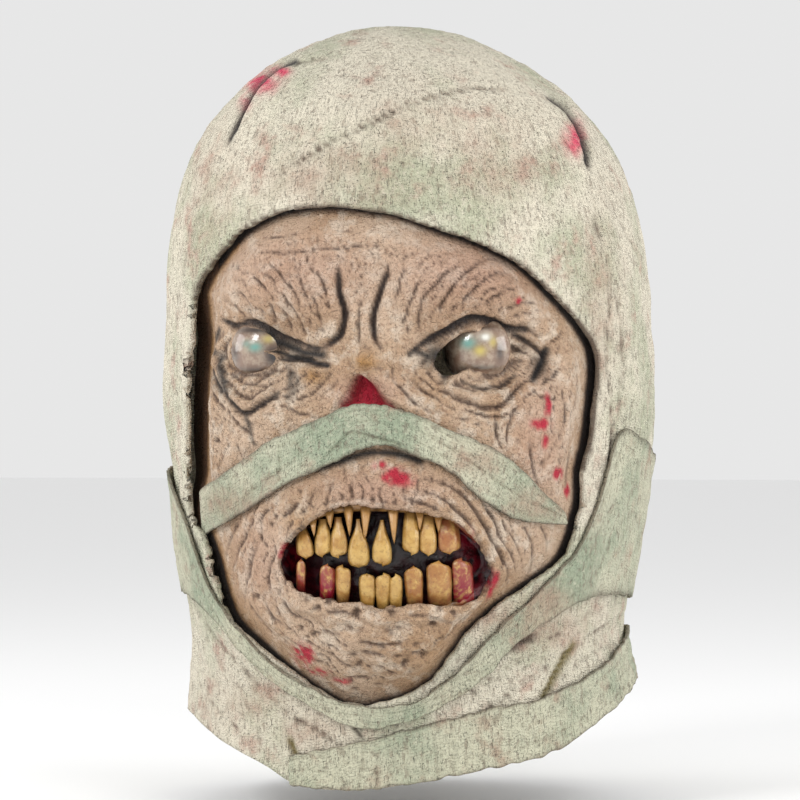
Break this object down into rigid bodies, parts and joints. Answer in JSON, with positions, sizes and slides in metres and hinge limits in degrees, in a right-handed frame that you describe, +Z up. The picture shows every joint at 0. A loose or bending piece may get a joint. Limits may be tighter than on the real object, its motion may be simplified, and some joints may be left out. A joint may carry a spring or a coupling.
{
  "type": "mummy mask",
  "caption": "Overhead latex mummy mask: bandage-wrapped hood open at the neck, with a withered face, bared teeth and a bandage across the nose.",
  "frame": {"origin": "inside of the crown, where the mask rests on the head that wears it", "axes": "+Z up through the crown, the face looks towards -Y, +X towards the viewer's right"},
  "size_m": [0.1996, 0.2368, 0.3037],
  "materials": {
    "gauze": "matte painted latex with a gauze weave",
    "band": "matte painted latex with a gauze weave",
    "skin": "wrinkled latex, tan with a dark brown wash",
    "lining": "black latex with wet dark red",
    "teeth": "yellowed, slightly glossy",
    "eyeball": "clouded grey-green, glossy"
  },
  "bodies": {
    "root": {"hood": "gauze", "jaw_band": "band", "neck_band": "band", "nose_bandage": "band", "face_skin": "skin", "mouth_lining": "lining", "upper_teeth": "teeth", "lower_teeth": "teeth", "eye_left": "eyeball", "eye_right": "eyeball"}
  },
  "joints": []
}
